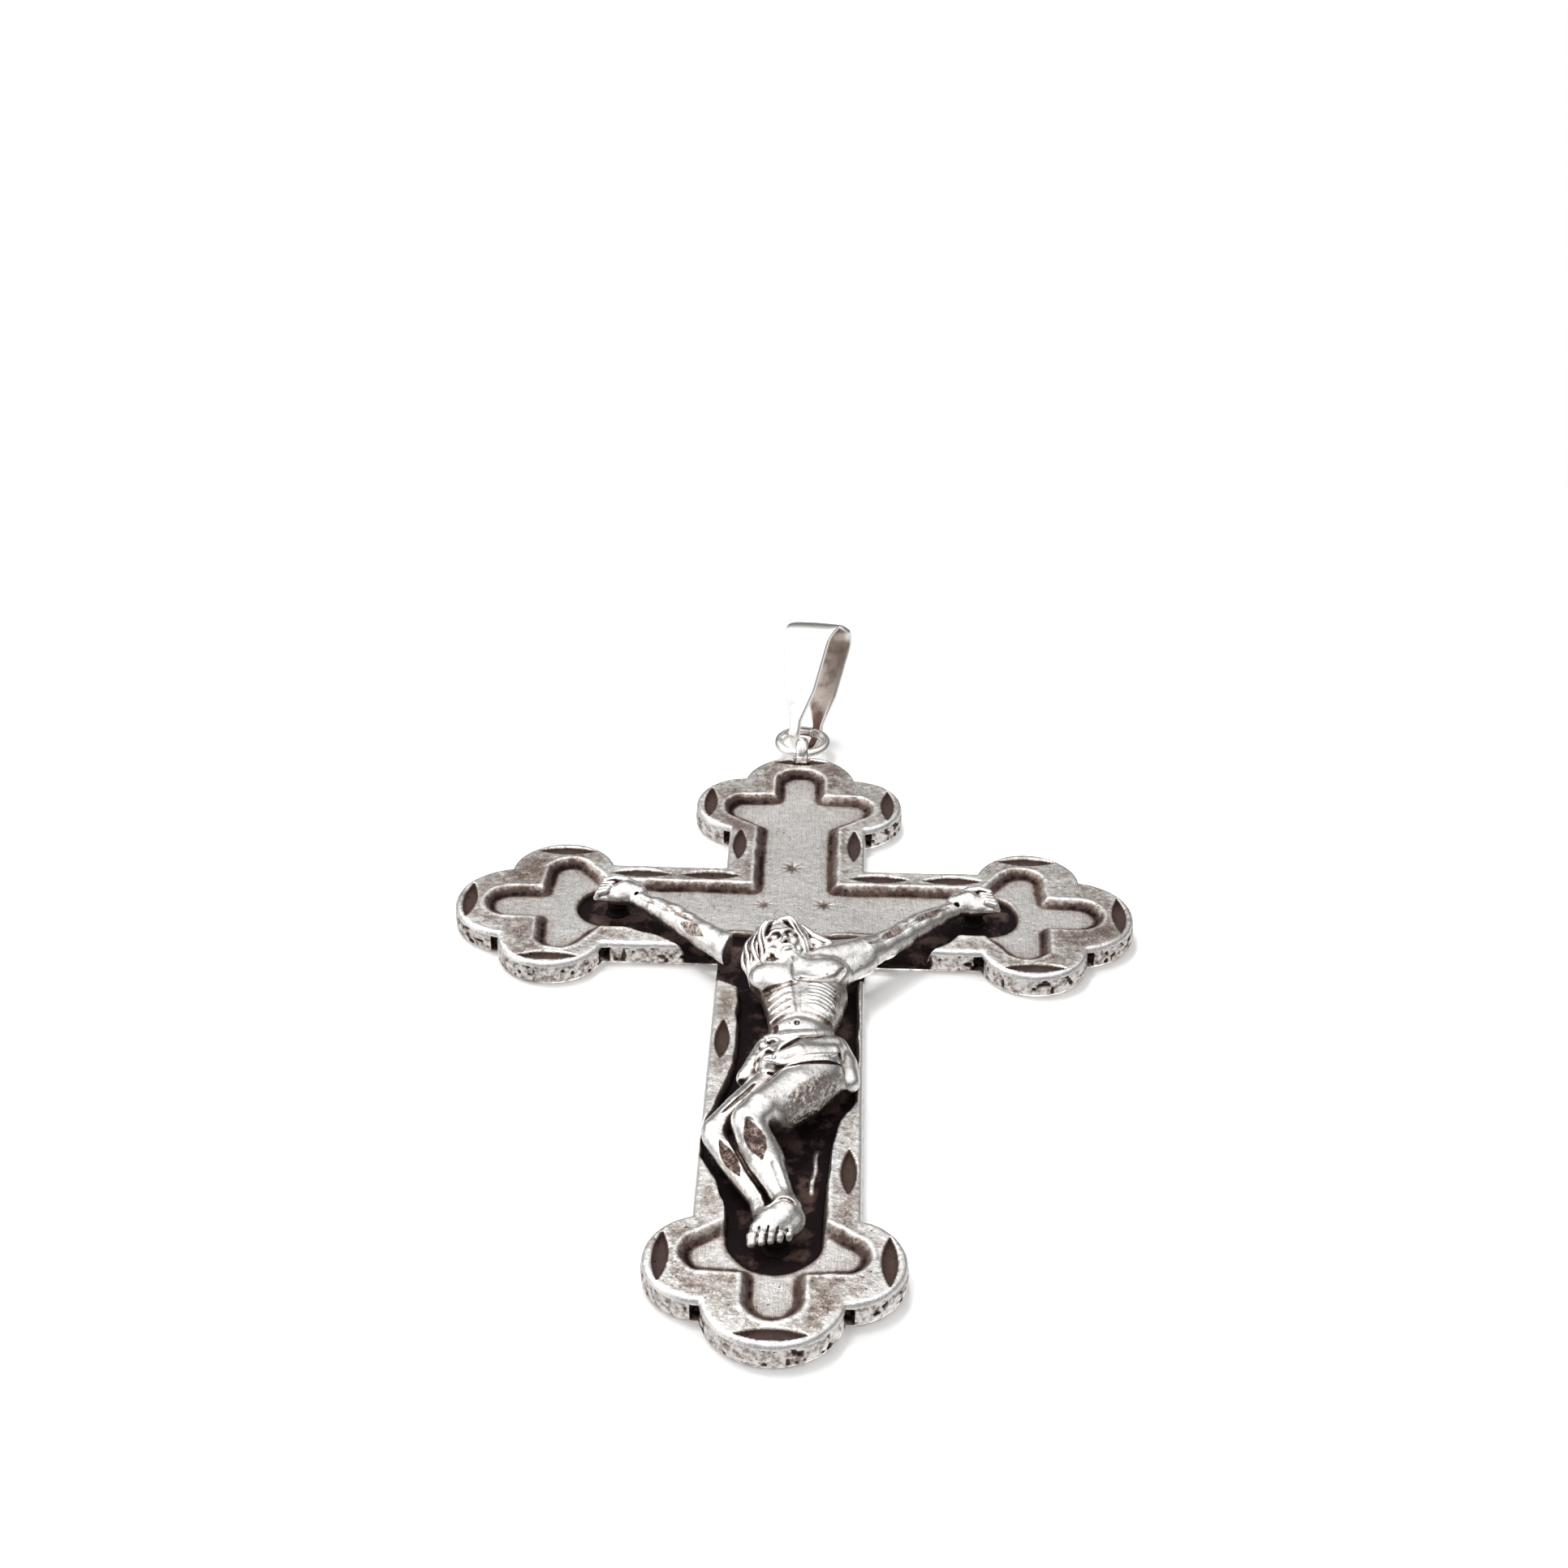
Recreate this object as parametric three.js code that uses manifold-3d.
// A small cast silver crucifix pendant: a trefoil-ended cross plate with an engraved field, a corpus in
// three castings standing on short posts, and an eyelet, jump ring and folded bail to hang it from.
//
// Every piece is drawn in the plate's own frame, millimetres: x across, y up the long axis, z out of the
// face, with z = 0 on the flat back and the origin where the arms cross. The last group turns that frame
// upright, so that +Z runs up the cross, the figure looks along -Y and the back lies in the plane y = 0.

import * as THREE from 'three';
import { mergeVertices } from 'three/addons/utils/BufferGeometryUtils.js';
import Module from 'manifold-3d';

const wasm = await Module();
wasm.setup();

// ---- driving dimensions ------------------------------------------------------------------------------

const plateThickness = 1.7;
const plateEdgeRound = 0.16;
const armHalfWidth = 4.9;
const reach = { side: 16.28, top: 13.76, foot: 35.63 }; // crossing to the middle of each trefoil

const lobe = { offset: 3.9, radius: 3.65 }; // the two side lobes of a trefoil
const tip = { offset: 2.9, radius: 4.15 }; // its end lobe

const field = { halfWidth: 3.0, depth: 0.5, slope: 0.5 };
const fieldLobe = { offset: 3.8, radius: 1.8, setBack: 0.5, shoulder: 3.3 };
const fieldTip = { offset: 3.2, radius: 1.9, neck: 1.3 };
const pocketFloor = 0.7; // metal left under the deep pocket behind the figure

const lens = { length: 4.1, width: 1.0 };
const lensInset = { lobe: 6.5, tip: 6.07, border: 4.1, crossBorder: 3.8 };
const flute = { radius: 0.5, roof: 0.5 }; // upright flutes in the wall, under the rim

const figureBack = 1.45; // flat back of the corpus, above the plate's back
const shoulder = { left: -3.9, right: 4.15 }; // planes where the arm castings meet the trunk
const seatGap = 0.02;

const eyelet = { height: 21.5, depth: 1.35, loopRadius: 1.0, wire: 0.3, halfWidth: 0.45, root: 19.6 };
const ring = { radius: 1.775, wire: 0.375 };
const bail = { pivotX: 0.2, length: 8.3, gap: 2.6, strip: 0.32, rootHalfWidth: 0.55, topHalfWidth: 2.2 };
const bailRest = { tilt: 58, turn: -35, lean: 6 }; // degrees: out from the plate, about itself, sideways

const degree = Math.PI / 180;

// ---- solids ------------------------------------------------------------------------------------------

function solid(geometry) {
  const bare = geometry.clone();
  bare.deleteAttribute('normal');
  bare.deleteAttribute('uv');
  const merged = mergeVertices(bare, 1e-5);
  const corners = [];
  const index = merged.index.array;
  for (let i = 0; i < index.length; i += 3) {
    const [a, b, c] = index.slice(i, i + 3);
    if (a !== b && b !== c && c !== a) {
      corners.push(a, b, c);
    }
  }
  const mesh = new wasm.Mesh({
    numProp: 3,
    vertProperties: new Float32Array(merged.attributes.position.array),
    triVerts: new Uint32Array(corners),
  });
  return new wasm.Manifold(mesh);
}

function geometryOf(body) {
  const mesh = body.getMesh();
  const geometry = new THREE.BufferGeometry();
  geometry.setAttribute('position', new THREE.BufferAttribute(mesh.vertProperties, 3));
  geometry.setIndex(new THREE.BufferAttribute(mesh.triVerts, 1));
  geometry.computeVertexNormals();
  return geometry;
}

function union(bodies) {
  return bodies.reduce((whole, body) => whole.add(body));
}

function extrude(shape, from, to, options = {}) {
  const geometry = new THREE.ExtrudeGeometry(shape, {
    depth: to - from,
    bevelEnabled: false,
    curveSegments: 10,
    ...options,
  });
  return geometry.translate(0, 0, from);
}

function box(low, high) {
  const size = high.map((value, i) => value - low[i]);
  const middle = high.map((value, i) => (value + low[i]) / 2);
  return new THREE.BoxGeometry(...size).translate(...middle);
}

function ellipsoid([x, y, z], [rx, ry, rz], turn = 0) {
  const geometry = new THREE.SphereGeometry(1, 14, 9).scale(rx, ry, rz);
  return geometry.rotateZ(turn * degree).translate(x, y, z);
}

// A rounded bar between two points, tapering from one end's radius to the other's.
function limb(start, startRadius, end, endRadius) {
  const a = new THREE.Vector3(...start);
  const b = new THREE.Vector3(...end);
  const span = a.distanceTo(b);
  const rings = 3;
  const profile = [];
  for (let i = 0; i <= rings; i++) {
    const angle = (i / rings) * 90 * degree;
    profile.push(new THREE.Vector2(startRadius * Math.sin(angle), -startRadius * Math.cos(angle)));
  }
  for (let i = rings; i >= 0; i--) {
    const angle = (i / rings) * 90 * degree;
    profile.push(new THREE.Vector2(endRadius * Math.sin(angle), span + endRadius * Math.cos(angle)));
  }
  const direction = b.clone().sub(a).normalize();
  const turn = new THREE.Quaternion().setFromUnitVectors(new THREE.Vector3(0, 1, 0), direction);
  return new THREE.LatheGeometry(profile, 10).applyQuaternion(turn).translate(...start);
}

// ---- the cross plate ---------------------------------------------------------------------------------

const arms = [
  { reach: reach.side, angle: 0 },
  { reach: reach.top, angle: 90 },
  { reach: reach.side, angle: 180 },
  { reach: reach.foot, angle: 270 },
];

function turned(points, angle) {
  return points.map((point) => point.clone().rotateAround(new THREE.Vector2(), angle * degree));
}

// The corner where a side lobe runs into the end lobe, measured from the trefoil's middle.
function lobeCorner() {
  const along = tip.offset;
  const across = lobe.offset;
  const between = Math.hypot(along, across);
  const fromLobe = (lobe.radius ** 2 - tip.radius ** 2 + between ** 2) / (2 * between);
  const aside = Math.sqrt(lobe.radius ** 2 - fromLobe ** 2);
  return new THREE.Vector2(
    (along * fromLobe + across * aside) / between,
    across - (across * fromLobe) / between + (along * aside) / between,
  );
}

const corner = lobeCorner();
const armMeet = Math.sqrt(lobe.radius ** 2 - (armHalfWidth - lobe.offset) ** 2);

// One arm's edge, pointing along +x, from its lower inner corner round to its upper one.
function armOutline(length) {
  const path = new THREE.Path();
  const meetAngle = Math.atan2(armHalfWidth - lobe.offset, -armMeet);
  const cornerAngle = Math.atan2(corner.y - lobe.offset, corner.x);
  const tipAngle = Math.atan2(corner.y, corner.x - tip.offset);
  path.moveTo(armHalfWidth, -armHalfWidth);
  path.lineTo(length - armMeet, -armHalfWidth);
  path.absarc(length, -lobe.offset, lobe.radius, -meetAngle, -cornerAngle, false);
  path.absarc(length + tip.offset, 0, tip.radius, -tipAngle, tipAngle, false);
  path.absarc(length, lobe.offset, lobe.radius, cornerAngle, meetAngle, false);
  return path.getPoints(6);
}

// One arm of the engraved field, which ends in a small rounded cross.
function armField(length) {
  const path = new THREE.Path();
  const middle = length - fieldLobe.setBack;
  const inner = 25 * degree;
  const outer = 20 * degree;
  path.moveTo(field.halfWidth, -field.halfWidth);
  path.lineTo(length - fieldLobe.shoulder, -field.halfWidth);
  path.absarc(middle, -fieldLobe.offset, fieldLobe.radius, Math.PI + inner, 2 * Math.PI - outer, false);
  path.lineTo(length + fieldTip.neck, -fieldTip.radius);
  path.absarc(length + fieldTip.offset, 0, fieldTip.radius, -Math.PI / 2, Math.PI / 2, false);
  path.lineTo(length + fieldTip.neck, fieldTip.radius);
  path.absarc(middle, fieldLobe.offset, fieldLobe.radius, outer, Math.PI - inner, false);
  path.lineTo(length - fieldLobe.shoulder, field.halfWidth);
  return path.getPoints(5);
}

function crossShape(armPoints) {
  return new THREE.Shape(arms.flatMap((arm) => turned(armPoints(arm.reach), arm.angle)));
}

// The deep pocket that follows the figure's silhouette, breaking out at the two lower inner corners.
function pocketShape() {
  const shape = new THREE.Shape();
  shape.absarc(-12.4, 0.2, 2.6, 55 * degree, 250 * degree, false);
  shape.lineTo(-9.5, -3.6);
  shape.lineTo(-7.3, -5.0);
  shape.lineTo(-6.2, -7.0);
  shape.lineTo(-4.8, -8.7);
  shape.lineTo(-3.4, -9.5);
  shape.lineTo(-3.2, -16.5);
  shape.quadraticCurveTo(-3.7, -20.5, -4.75, -23.5);
  shape.quadraticCurveTo(-5.2, -25.2, -4.75, -26.8);
  shape.quadraticCurveTo(-3.1, -29.5, -3.0, -33.3);
  shape.absarc(-0.1, -33.6, 2.85, 175 * degree, 365 * degree, false);
  shape.lineTo(3.1, -26.0);
  shape.quadraticCurveTo(3.4, -22.6, 4.6, -21.3);
  shape.lineTo(4.6, -8.6);
  shape.lineTo(6.4, -7.0);
  shape.lineTo(9.2, -5.0);
  shape.lineTo(10.6, -3.9);
  shape.absarc(13.0, 0.2, 2.6, 245 * degree, 485 * degree, false);
  shape.lineTo(6.3, -2.6);
  shape.lineTo(-5.5, -2.6);
  return shape;
}

// A spindle, pointed at both ends: half of it sunk in the face leaves a lens-shaped cut.
function spindle(x, y, angle) {
  const half = lens.length / 2;
  const profile = [];
  const steps = 4;
  for (let i = 0; i <= steps; i++) {
    const along = -half + (lens.length * i) / steps;
    profile.push(new THREE.Vector2((lens.width / 2) * (1 - (along / half) ** 2), along));
  }
  const geometry = new THREE.LatheGeometry(profile, 8).scale(1, 1, 0.8);
  return geometry.rotateZ(angle * degree).translate(x, y, plateThickness);
}

function trefoilLenses(length, angle) {
  const spots = [
    { at: [length, -lensInset.lobe], turn: 90 },
    { at: [length, lensInset.lobe], turn: 90 },
    { at: [length + lensInset.tip, 0], turn: 0 },
  ];
  return spots.map(({ at, turn }) => {
    const [point] = turned([new THREE.Vector2(...at)], angle);
    return spindle(point.x, point.y, turn + angle);
  });
}

function borderLenses() {
  return [
    spindle(-lensInset.border, 8.0, 0),
    spindle(lensInset.border, 8.0, 0),
    spindle(-lensInset.border, -15.2, 0),
    spindle(lensInset.border, -27.9, 0),
    spindle(-10.8, lensInset.crossBorder, 90),
    spindle(-5.9, lensInset.crossBorder, 90),
    spindle(5.9, lensInset.crossBorder, 90),
    spindle(11.0, lensInset.crossBorder, 90),
  ];
}

function flutes(length, angle) {
  const spots = [
    [length + corner.x, -corner.y],
    [length + corner.x, corner.y],
    [length - armMeet, -armHalfWidth],
    [length - armMeet, armHalfWidth],
  ];
  const height = plateThickness - flute.roof + 1;
  return spots.map((at) => {
    const [point] = turned([new THREE.Vector2(...at)], angle);
    const post = new THREE.CylinderGeometry(flute.radius, flute.radius, height, 8).rotateX(90 * degree);
    return post.translate(point.x, point.y, height / 2 - 1);
  });
}

function platePiece() {
  const blank = extrude(crossShape(armOutline), plateEdgeRound, plateThickness - plateEdgeRound, {
    bevelEnabled: true,
    bevelThickness: plateEdgeRound,
    bevelSize: plateEdgeRound,
    bevelOffset: -plateEdgeRound,
    bevelSegments: 1,
  });
  const engraved = extrude(crossShape(armField), plateThickness, plateThickness + 1, {
    bevelEnabled: true,
    bevelThickness: field.depth,
    bevelSize: field.slope,
    bevelOffset: -field.slope,
    bevelSegments: 1,
  });
  const cuts = [
    engraved,
    extrude(pocketShape(), pocketFloor, plateThickness + 1, { curveSegments: 5 }),
    box([-eyelet.halfWidth - seatGap, eyelet.root - seatGap, -1], [eyelet.halfWidth + seatGap, 23, 3]),
    ...arms.flatMap((arm) => trefoilLenses(arm.reach, arm.angle)),
    ...borderLenses(),
    ...arms.flatMap((arm) => flutes(arm.reach, arm.angle)),
  ];
  return geometryOf(cuts.reduce((body, cut) => body.subtract(solid(cut)), solid(blank)));
}

// ---- the figure --------------------------------------------------------------------------------------

const face = plateThickness; // heights below are given above the plate's face

function above(x, y, height) {
  return [x, y, face + height];
}

function corpusPiece() {
  const forms = [
    ellipsoid(above(-0.6, -7.4, 1.8), [2.25, 2.1, 1.6], 16), // head
    ellipsoid(above(-1.5, -8.6, 1.2), [1.2, 2.2, 1.0], -10), // hair falling past the near shoulder
    limb(above(-0.2, -8.6, 1.3), 1.1, above(0.4, -10.4, 1.1), 1.3), // neck
    limb(above(-2.6, -9.4, 1.0), 1.25, above(3.6, -9.4, 1.0), 1.25), // shoulders
    ellipsoid(above(0.65, -12.0, 1.1), [3.0, 3.6, 1.4]), // rib cage
    ellipsoid(above(0.95, -15.8, 1.1), [2.15, 2.8, 1.2]), // waist
    ellipsoid(above(1.1, -19.4, 1.3), [2.9, 2.7, 1.6]), // loincloth
    limb(above(-1.2, -18.2, 1.2), 0.8, above(-2.3, -20.6, 0.9), 0.65), // its near fold
    limb(above(3.0, -18.2, 1.4), 1.0, above(4.0, -21.0, 1.0), 0.65), // its far fold
    limb(above(1.6, -20.6, 1.6), 1.85, above(-1.9, -25.4, 2.1), 1.3), // far thigh
    limb(above(-0.6, -20.4, 1.0), 1.4, above(-4.0, -26.0, 1.3), 0.85), // near thigh
    limb(above(-1.9, -25.4, 2.1), 1.2, above(0.3, -32.4, 1.2), 0.75), // far shin
    limb(above(-4.0, -26.0, 1.3), 0.85, above(-0.8, -33.0, 0.8), 0.65), // near shin
    limb(above(0.6, -33.0, 1.0), 0.85, above(-1.0, -35.2, 0.7), 0.55), // feet
  ];
  const cuts = [behindFigure, nearArmSide, farArmSide];
  return geometryOf(cuts.reduce((body, cut) => body.subtract(solid(cut)), union(forms.map(solid))));
}

// An arm casting runs from its shoulder plane to a half-closed hand, with its back cut flat.
function armPiece(points, shoulderSide) {
  const [top, elbow, wrist, palm] = points;
  const forms = [
    limb(top, 1.15, elbow, 0.85),
    limb(elbow, 0.85, wrist, 0.6),
    limb(wrist, 0.6, palm, 0.8),
    ellipsoid(palm, [1.5, 1.1, 0.85]),
  ];
  const casting = union(forms.map(solid));
  return geometryOf(casting.subtract(solid(behindFigure)).subtract(solid(shoulderSide)));
}

const behindFigure = box([-30, -50, -5], [30, 10, figureBack]);
const nearArmSide = box([-30, -13, -5], [shoulder.left + seatGap, 10, 10]);
const farArmSide = box([shoulder.right - seatGap, -13, -5], [30, 10, 10]);
const trunkFromNear = box([shoulder.left - seatGap, -40, -5], [30, 10, 10]);
const trunkFromFar = box([-30, -40, -5], [shoulder.right + seatGap, 10, 10]);

// Shoulder, elbow, wrist and palm of each arm.
const nearArm = [
  above(-3.6, -8.6, 1.1),
  above(-6.6, -4.5, 0.9),
  above(-10.6, -0.7, 0.65),
  above(-12.3, 0.3, 0.55),
];
const farArm = [
  above(3.9, -8.8, 1.1),
  above(6.8, -4.8, 0.9),
  above(10.7, -0.7, 0.65),
  above(12.5, 0.2, 0.55),
];

// Short posts that stand on the pocket floor and carry the castings by their flat backs.
function postPiece(radius) {
  const height = figureBack - pocketFloor - 2 * seatGap;
  return new THREE.CylinderGeometry(radius, radius * 1.15, height, 16).rotateX(90 * degree);
}

const postHeight = (figureBack + pocketFloor) / 2;
const posts = [
  { name: 'hand_post_left', at: [-12.2, 0.2], radius: 0.6 },
  { name: 'hand_post_right', at: [12.4, 0.1], radius: 0.6 },
  { name: 'back_post', at: [0.7, -12.0], radius: 1.3 },
  { name: 'foot_post', at: [0.0, -33.8], radius: 0.65 },
];

// ---- the hanging pieces ------------------------------------------------------------------------------

function eyeletPiece() {
  const loop = new THREE.TorusGeometry(eyelet.loopRadius, eyelet.wire, 8, 20).scale(1, 1, 1.5);
  loop.rotateY(90 * degree).translate(0, eyelet.height, eyelet.depth);
  const low = [-eyelet.halfWidth, eyelet.root, 0.1];
  const high = [eyelet.halfWidth, eyelet.height - eyelet.loopRadius, plateThickness + 0.05];
  const root = box(low, high);
  return geometryOf(solid(loop).add(solid(root)));
}

function ringPiece() {
  return new THREE.TorusGeometry(ring.radius, ring.wire, 10, 32);
}

// A strip folded into a long loop and cut to a taper, narrow at the ring and pointed at the top fold.
// Its own frame has y along its length from the ring's wire, x across and z towards the viewer.
function bailPiece() {
  const outer = new THREE.Shape();
  const outerRadius = bail.gap / 2 + bail.strip;
  const foldCentre = bail.length - bail.gap / 2 - bail.strip / 2;
  outer.absarc(0, 0, outerRadius, Math.PI, 2 * Math.PI, false);
  outer.absarc(0, foldCentre, outerRadius, 0, Math.PI, false);
  const inner = new THREE.Path();
  inner.absarc(0, 0, bail.gap / 2, Math.PI, 2 * Math.PI, false);
  inner.absarc(0, foldCentre, bail.gap / 2, 0, Math.PI, false);
  outer.holes.push(inner);
  const blankHalfWidth = bail.topHalfWidth + 1;
  const loop = extrude(outer, -blankHalfWidth, blankHalfWidth).rotateY(90 * degree);
  const taper = new THREE.Shape();
  taper.moveTo(-bail.rootHalfWidth, -2);
  taper.lineTo(bail.rootHalfWidth, -2);
  taper.lineTo(bail.rootHalfWidth, 0.6);
  taper.lineTo(bail.topHalfWidth, bail.length);
  taper.lineTo(bail.topHalfWidth * 0.55, bail.length + 1);
  taper.lineTo(-bail.topHalfWidth * 0.55, bail.length + 1);
  taper.lineTo(-bail.topHalfWidth, bail.length);
  taper.lineTo(-bail.rootHalfWidth, 0.6);
  const throughBoth = bail.gap + 1;
  return geometryOf(solid(loop).intersect(solid(extrude(taper, -throughBoth, throughBoth))));
}

// ---- assembly ----------------------------------------------------------------------------------------

const pendant = new THREE.Group();
pendant.rotation.x = 90 * degree;

function silver(color, roughness) {
  return new THREE.MeshStandardMaterial({ color, roughness, metalness: 1 });
}

function addPiece(name, geometry, material, parent = pendant) {
  const mesh = new THREE.Mesh(geometry, material);
  mesh.name = name;
  parent.add(mesh);
  return mesh;
}

addPiece('cross_plate', platePiece(), silver(0xb8aea4, 0.45));
addPiece('corpus', corpusPiece(), silver(0xe4e0da, 0.28));
addPiece('arm_left', armPiece(nearArm, trunkFromNear), silver(0xe4e0da, 0.28));
addPiece('arm_right', armPiece(farArm, trunkFromFar), silver(0xe4e0da, 0.28));
for (const post of posts) {
  const mesh = addPiece(post.name, postPiece(post.radius), silver(0x8c837a, 0.5));
  mesh.position.set(...post.at, postHeight);
}
addPiece('eyelet', eyeletPiece(), silver(0xc8c2ba, 0.4));

const ringMesh = addPiece('jump_ring', ringPiece(), silver(0xd8d6d0, 0.25));
ringMesh.position.set(0, eyelet.height + ring.radius, eyelet.depth);

const bailMesh = addPiece('bail', bailPiece(), silver(0xe8e6e2, 0.2));
bailMesh.position.set(bail.pivotX, eyelet.height + 2 * ring.radius, eyelet.depth);
bailMesh.rotation.set(bailRest.tilt * degree, bailRest.turn * degree, -bailRest.lean * degree, 'XZY');

export default pendant;
